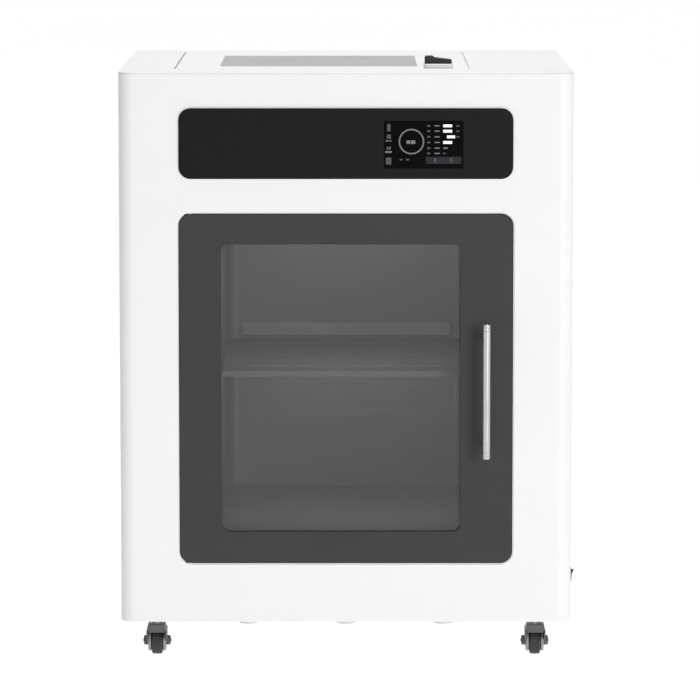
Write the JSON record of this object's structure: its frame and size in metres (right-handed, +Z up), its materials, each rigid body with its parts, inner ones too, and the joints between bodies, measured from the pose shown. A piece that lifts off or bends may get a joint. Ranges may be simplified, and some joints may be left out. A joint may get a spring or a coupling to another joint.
{
  "type": "filament drying cabinet",
  "caption": "Floor-standing white drying cabinet for filament spools with a glazed door, black touch-screen fascia, hinged top lid with turn latch, inner shelf and swivel casters.",
  "frame": {"origin": "on the floor under the middle of the cabinet's bounding box, with the wheels standing on z = 0", "axes": "+Z up, +X to the right seen from the door, +Y towards the back (the door faces -Y)"},
  "size_m": [0.7355, 0.725, 0.9723],
  "materials": {
    "white_enamel": "satin white powder coat",
    "galvanised_sheet": "galvanised",
    "chamber_steel": "satin stainless",
    "graphite_enamel": "satin anthracite",
    "black_glass": "satin black",
    "screen_black": "glossy screen",
    "tinted_glass": "grey tinted",
    "smoked_acrylic": "pale smoked",
    "brushed_aluminium": "brushed",
    "zinc_steel": "zinc plated",
    "black_rubber": "matte",
    "black_tyre": "matte",
    "grey_rubber": "matte",
    "black_plastic": "fine texture",
    "light_plastic": "satin",
    "mineral_wool": "fibrous",
    "board_green": "solder mask",
    "heater_alloy": "matte",
    "lamp_diffuser": "opal"
  },
  "bodies": {
    "cabinet": {"base_pan": "galvanised_sheet", "front_panel": "white_enamel", "side_panel_left": "white_enamel", "side_panel_right": "white_enamel", "rear_panel": "white_enamel", "top_panel": "white_enamel", "chamber_liner": "chamber_steel", "insulation": "mineral_wool", "air_duct": "galvanised_sheet", "shelf_rail_left": "chamber_steel", "shelf_rail_right": "chamber_steel", "ptc_heater": "heater_alloy", "circulation_fan_frame": "black_plastic", "vent_collar": "light_plastic", "fascia_panel": "black_glass", "display_module": "screen_black", "control_board": "board_green", "power_supply": "zinc_steel", "mains_inlet": "black_plastic", "switch_bezel": "black_plastic", "chamber_lamp": "lamp_diffuser", "humidity_sensor": "light_plastic", "door_bracket_top": "zinc_steel", "door_bracket_bottom": "zinc_steel", "door_catch": "black_plastic", "lid_bracket_front": "zinc_steel", "lid_bracket_back": "zinc_steel", "base_pad_strip": "grey_rubber", "caster_plate_front_left": "zinc_steel", "caster_plate_front_right": "zinc_steel", "caster_plate_back_left": "zinc_steel", "caster_plate_back_right": "zinc_steel"},
    "door": {"door_frame": "graphite_enamel", "door_pane": "tinted_glass", "door_backing": "graphite_enamel", "door_gasket": "black_rubber", "handle_bar": "brushed_aluminium", "handle_post_top": "brushed_aluminium", "handle_post_bottom": "brushed_aluminium", "door_pin_top": "zinc_steel", "door_pin_bottom": "zinc_steel"},
    "lid": {"lid_panel": "white_enamel", "lid_window": "smoked_acrylic", "lid_gasket": "grey_rubber", "lid_hinge_pin": "zinc_steel", "latch_plate": "light_plastic"},
    "latch": {"latch_lever": "black_plastic", "latch_cam": "zinc_steel"},
    "shelf": {"shelf": "chamber_steel"},
    "fan_rotor": {"circulation_fan_rotor": "black_plastic"},
    "vent_shutter": {"vent_disc": "light_plastic"},
    "rocker": {"power_rocker": "black_plastic"},
    "caster_front_left": {"caster_fork_front_left": "zinc_steel"},
    "wheel_front_left": {"caster_wheel_front_left": "black_tyre"},
    "caster_front_right": {"caster_fork_front_right": "zinc_steel"},
    "wheel_front_right": {"caster_wheel_front_right": "black_tyre"},
    "caster_back_left": {"caster_fork_back_left": "zinc_steel"},
    "wheel_back_left": {"caster_wheel_back_left": "black_tyre"},
    "caster_back_right": {"caster_fork_back_right": "zinc_steel"},
    "wheel_back_right": {"caster_wheel_back_right": "black_tyre"}
  },
  "joints": [
    {"name": "door_hinge", "type": "hinge", "parent": "cabinet", "child": "door", "pos_m": [-0.25, -0.31725, 0.4425], "axis": [0, 0, -1], "range_deg": [0, 120]},
    {"name": "lid_hinge", "type": "hinge", "parent": "cabinet", "child": "lid", "pos_m": [-0.265, 0.04275, 0.9445], "axis": [0, -1, 0], "range_deg": [0, 95]},
    {"name": "latch_turn", "type": "hinge", "parent": "lid", "child": "latch", "pos_m": [0.15, -0.18725, 0.9525], "axis": [0, 0, -1], "range_deg": [0, 90]},
    {"name": "shelf_lift", "type": "slide", "parent": "cabinet", "child": "shelf", "axis": [0, 0, 1], "range_m": [0, 0.04]},
    {"name": "fan_spin", "type": "hinge", "parent": "cabinet", "child": "fan_rotor", "pos_m": [0, 0.20605, 0.8375], "axis": [0, 1, 0], "continuous": true},
    {"name": "vent_turn", "type": "hinge", "parent": "cabinet", "child": "vent_shutter", "pos_m": [0, 0.35005, 0.8375], "axis": [0, 1, 0], "range_deg": [0, 60]},
    {"name": "power_rock", "type": "hinge", "parent": "cabinet", "child": "rocker", "pos_m": [0.3653, -0.28225, 0.1345], "axis": [0, -1, 0], "range_deg": [0, 13]},
    {"name": "swivel_front_left", "type": "hinge", "parent": "cabinet", "child": "caster_front_left", "pos_m": [-0.308, -0.28625, 0.0625], "axis": [0, 0, 1], "continuous": true},
    {"name": "roll_front_left", "type": "hinge", "parent": "caster_front_left", "child": "wheel_front_left", "pos_m": [-0.308, -0.26625, 0.0225], "axis": [1, 0, 0], "continuous": true},
    {"name": "swivel_front_right", "type": "hinge", "parent": "cabinet", "child": "caster_front_right", "pos_m": [0.308, -0.28625, 0.0625], "axis": [0, 0, 1], "continuous": true},
    {"name": "roll_front_right", "type": "hinge", "parent": "caster_front_right", "child": "wheel_front_right", "pos_m": [0.308, -0.26625, 0.0225], "axis": [1, 0, 0], "continuous": true},
    {"name": "swivel_back_left", "type": "hinge", "parent": "cabinet", "child": "caster_back_left", "pos_m": [-0.308, 0.29175, 0.0625], "axis": [0, 0, 1], "continuous": true},
    {"name": "roll_back_left", "type": "hinge", "parent": "caster_back_left", "child": "wheel_back_left", "pos_m": [-0.308, 0.31175, 0.0225], "axis": [1, 0, 0], "continuous": true},
    {"name": "swivel_back_right", "type": "hinge", "parent": "cabinet", "child": "caster_back_right", "pos_m": [0.308, 0.29175, 0.0625], "axis": [0, 0, 1], "continuous": true},
    {"name": "roll_back_right", "type": "hinge", "parent": "caster_back_right", "child": "wheel_back_right", "pos_m": [0.308, 0.31175, 0.0225], "axis": [1, 0, 0], "continuous": true}
  ]
}
